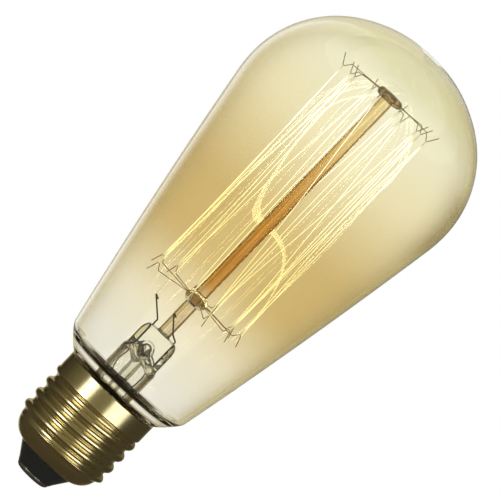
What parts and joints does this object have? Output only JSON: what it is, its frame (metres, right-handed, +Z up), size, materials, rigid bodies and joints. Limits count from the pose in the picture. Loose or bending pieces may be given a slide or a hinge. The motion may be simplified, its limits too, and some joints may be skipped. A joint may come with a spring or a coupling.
{
  "type": "filament lamp",
  "caption": "Teardrop squirrel-cage filament lamp: amber blown-glass bulb, glass stem with a hooked zigzag filament, and a brass screw cap with black insulator and bottom contact.",
  "frame": {"origin": "centre of the bottom contact, the lowest point of the cap", "axes": "+Z up the lamp's axis from the contact to the top of the glass, +X to the right and -Y towards the viewer of the picture once the lamp stands upright on its cap"},
  "size_m": [0.0621, 0.062, 0.136],
  "materials": {
    "amber_glass": "clear blown glass with an amber tint, strongest in the middle",
    "clear_glass": "clear drawn glass",
    "rod_glass": "glass rod that shows the filament's amber light",
    "button_glass": "amber glass beads fused on the rod",
    "hook_wire": "fine dark molybdenum wire",
    "glowing_filament": "lit, pale yellow to white",
    "lead_wire": "dark nickel wire",
    "seal_copper": "oxidised copper-clad wire seen through glass",
    "outer_copper": "bare copper wire",
    "cap_brass": "polished rolled brass",
    "black_glass": "opaque black moulded glass, satin",
    "tinned_contact": "tinned metal",
    "solder": "soft solder, slightly dull",
    "cement": "pale basing cement"
  },
  "bodies": {
    "root": {"glass_envelope": "amber_glass", "stem_flare": "clear_glass", "stem_press": "clear_glass", "exhaust_tube": "clear_glass", "arbor_rod": "rod_glass", "top_button": "button_glass", "lower_button": "button_glass", "top_hook_1": "hook_wire", "top_hook_2": "hook_wire", "top_hook_3": "hook_wire", "top_hook_4": "hook_wire", "top_hook_5": "hook_wire", "top_hook_6": "hook_wire", "top_hook_7": "hook_wire", "top_hook_8": "hook_wire", "top_hook_9": "hook_wire", "top_hook_10": "hook_wire", "lower_hook_1": "hook_wire", "lower_hook_2": "hook_wire", "lower_hook_3": "hook_wire", "lower_hook_4": "hook_wire", "lower_hook_5": "hook_wire", "lower_hook_6": "hook_wire", "lower_hook_7": "hook_wire", "lower_hook_8": "hook_wire", "lower_hook_9": "hook_wire", "filament": "glowing_filament", "left_inner_lead": "lead_wire", "right_inner_lead": "lead_wire", "left_seal_wire": "seal_copper", "right_seal_wire": "seal_copper", "centre_outer_lead": "outer_copper", "side_outer_lead": "outer_copper", "screw_shell": "cap_brass", "insulator": "black_glass", "centre_contact": "tinned_contact", "contact_solder": "solder", "side_solder": "solder", "basing_cement": "cement"}
  },
  "joints": []
}
